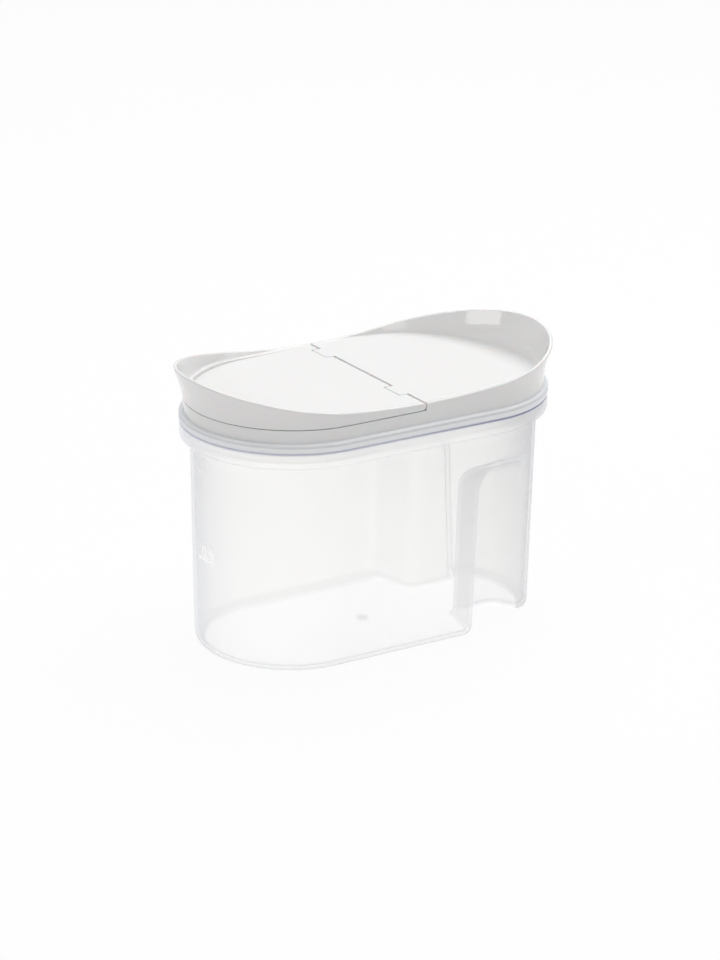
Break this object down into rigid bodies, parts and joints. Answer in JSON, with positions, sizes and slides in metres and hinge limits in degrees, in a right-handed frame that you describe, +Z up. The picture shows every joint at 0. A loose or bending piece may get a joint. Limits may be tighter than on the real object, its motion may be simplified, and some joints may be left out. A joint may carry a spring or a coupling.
{
  "type": "food storage box with pouring flap",
  "caption": "Long-round translucent food storage box with a hand grip recess on each side and a white lid whose left half hinges up for pouring.",
  "frame": {"origin": "centre of the tub's underside, on the plane the box stands on", "axes": "+Z up, +X along the long side towards the gripped end, -Y the front"},
  "size_m": [0.1851, 0.1006, 0.1335],
  "materials": {
    "tub": "translucent satin",
    "lid": "gloss",
    "flap": "gloss",
    "seal": "translucent"
  },
  "bodies": {
    "tub": {"tub": "tub"},
    "lid": {"lid": "lid", "seal": "seal"},
    "flap": {"flap": "flap"}
  },
  "joints": [
    {"name": "lid_lift", "type": "slide", "parent": "tub", "child": "lid", "axis": [0, 0, 1], "range_m": [0, 0.05]},
    {"name": "flap_hinge", "type": "hinge", "parent": "lid", "child": "flap", "pos_m": [-0.00135, 0, 0.119], "axis": [0, 1, 0], "range_deg": [0, 105]}
  ]
}
